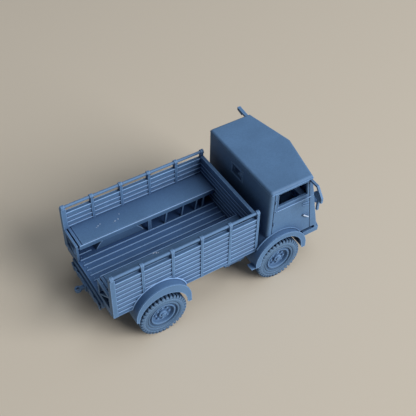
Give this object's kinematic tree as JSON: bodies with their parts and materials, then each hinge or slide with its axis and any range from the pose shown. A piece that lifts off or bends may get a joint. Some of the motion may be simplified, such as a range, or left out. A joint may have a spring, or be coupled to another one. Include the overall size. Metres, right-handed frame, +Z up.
{
  "type": "scale model of a military cargo truck",
  "caption": "Unpainted blue-grey resin scale model of a forward-control military cargo truck with board sides, long benches in an open-tailed bed, a V windscreen cab and wheels that turn.",
  "frame": {"origin": "on the ground under the middle of the truck's overall length and width", "axes": "+X points forward, +Y to the truck's left, +Z up"},
  "size_m": [0.0676, 0.038, 0.0314],
  "materials": {
    "body_resin": "matt cast resin, unpainted",
    "bed_resin": "matt cast resin, unpainted",
    "chassis_resin": "matt cast resin, unpainted",
    "tyre_resin": "matt cast resin, unpainted",
    "wheel_resin": "matt cast resin, unpainted"
  },
  "bodies": {
    "truck": {"bed_floor": "bed_resin", "bed_rail_left": "bed_resin", "bed_rail_right": "bed_resin", "bed_side_left": "bed_resin", "bed_side_right": "bed_resin", "bench_left": "bed_resin", "bench_legs_left": "bed_resin", "bench_legs_right": "bed_resin", "bench_right": "bed_resin", "cab_floor": "body_resin", "cab_rear_wall": "body_resin", "cab_roof": "body_resin", "chassis_frame": "chassis_resin", "dashboard": "body_resin", "door_left": "body_resin", "door_right": "body_resin", "engine_block": "chassis_resin", "front_arch_left": "body_resin", "front_arch_right": "body_resin", "front_axle": "chassis_resin", "front_bumper": "body_resin", "front_springs": "chassis_resin", "fuel_tank": "chassis_resin", "gearbox_and_shafts": "chassis_resin", "grille": "body_resin", "headboard": "bed_resin", "headlamps": "body_resin", "mirror_left": "body_resin", "mirror_right": "body_resin", "nose_panel": "body_resin", "rear_arch_left": "body_resin", "rear_arch_right": "body_resin", "rear_axle": "chassis_resin", "rear_springs": "chassis_resin", "seat_left": "body_resin", "seat_right": "body_resin", "steering_wheel": "body_resin", "tail_frame_left": "bed_resin", "tail_frame_right": "bed_resin", "tow_hook": "chassis_resin", "windscreen_frame": "body_resin"},
    "wheel_rear_left": {"tyre_rear_left": "tyre_resin", "wheel_disc_rear_left": "wheel_resin"},
    "wheel_rear_right": {"tyre_rear_right": "tyre_resin", "wheel_disc_rear_right": "wheel_resin"},
    "wheel_front_left": {"tyre_front_left": "tyre_resin", "wheel_disc_front_left": "wheel_resin"},
    "wheel_front_right": {"tyre_front_right": "tyre_resin", "wheel_disc_front_right": "wheel_resin"}
  },
  "joints": [
    {"name": "wheel_rear_left_spin", "type": "hinge", "parent": "truck", "child": "wheel_rear_left", "pos_m": [-0.0174, 0.01375, 0.0065], "axis": [0, 1, 0], "continuous": true},
    {"name": "wheel_rear_right_spin", "type": "hinge", "parent": "truck", "child": "wheel_rear_right", "pos_m": [-0.0174, -0.01375, 0.0065], "axis": [0, 1, 0], "continuous": true},
    {"name": "wheel_front_left_spin", "type": "hinge", "parent": "truck", "child": "wheel_front_left", "pos_m": [0.0173, 0.01375, 0.0065], "axis": [0, 1, 0], "continuous": true},
    {"name": "wheel_front_right_spin", "type": "hinge", "parent": "truck", "child": "wheel_front_right", "pos_m": [0.0173, -0.01375, 0.0065], "axis": [0, 1, 0], "continuous": true}
  ]
}
